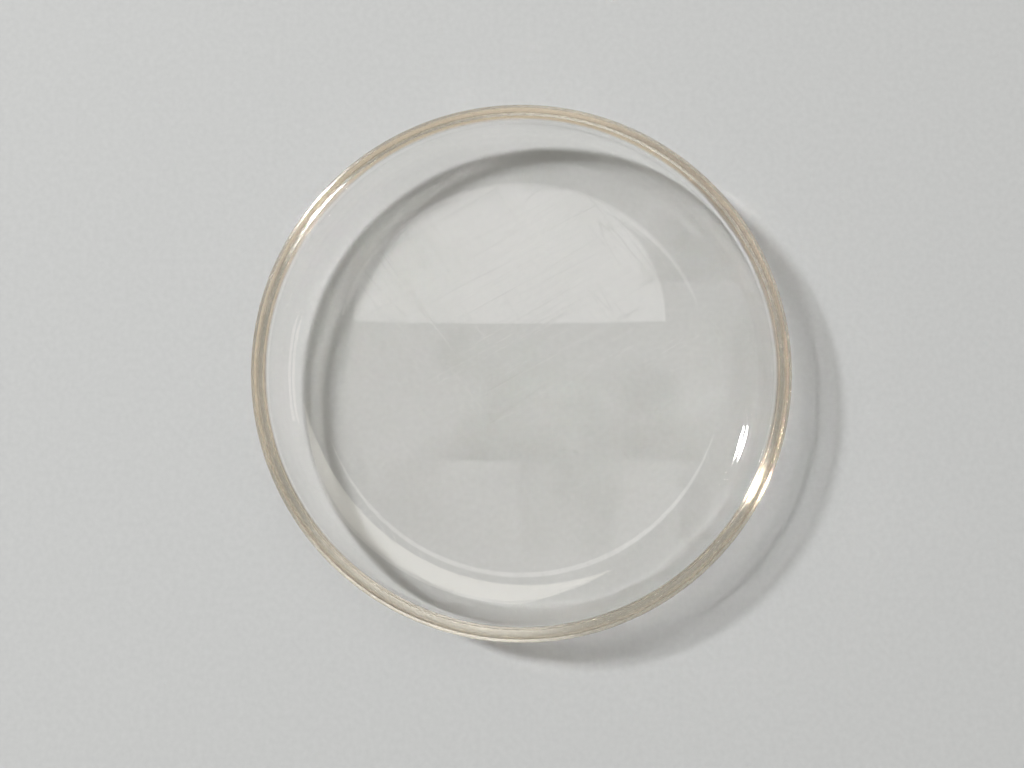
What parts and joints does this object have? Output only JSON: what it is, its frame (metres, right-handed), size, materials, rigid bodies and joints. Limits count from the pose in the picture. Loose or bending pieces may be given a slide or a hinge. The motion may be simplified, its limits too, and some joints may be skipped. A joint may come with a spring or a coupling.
{
  "type": "watch crystal",
  "caption": "Clear acrylic crystal for a round wristwatch: a low domed window, a rounded shoulder and an upright wall with a bevelled flat rim, pressed into a bezel.",
  "frame": {"origin": "the lowest point of the dome, on the axis, where the crystal lies on the surface with its open side up", "axes": "+Z is the axis that the crystal is turned about, from the dome to the open rim; X and Y run across it and are alike"},
  "size_m": [0.036, 0.036, 0.005],
  "materials": {
    "clear_acrylic": "polished clear acrylic, with a finely turned satin seat round the rim"
  },
  "bodies": {
    "root": {"crystal": "clear_acrylic"}
  },
  "joints": []
}
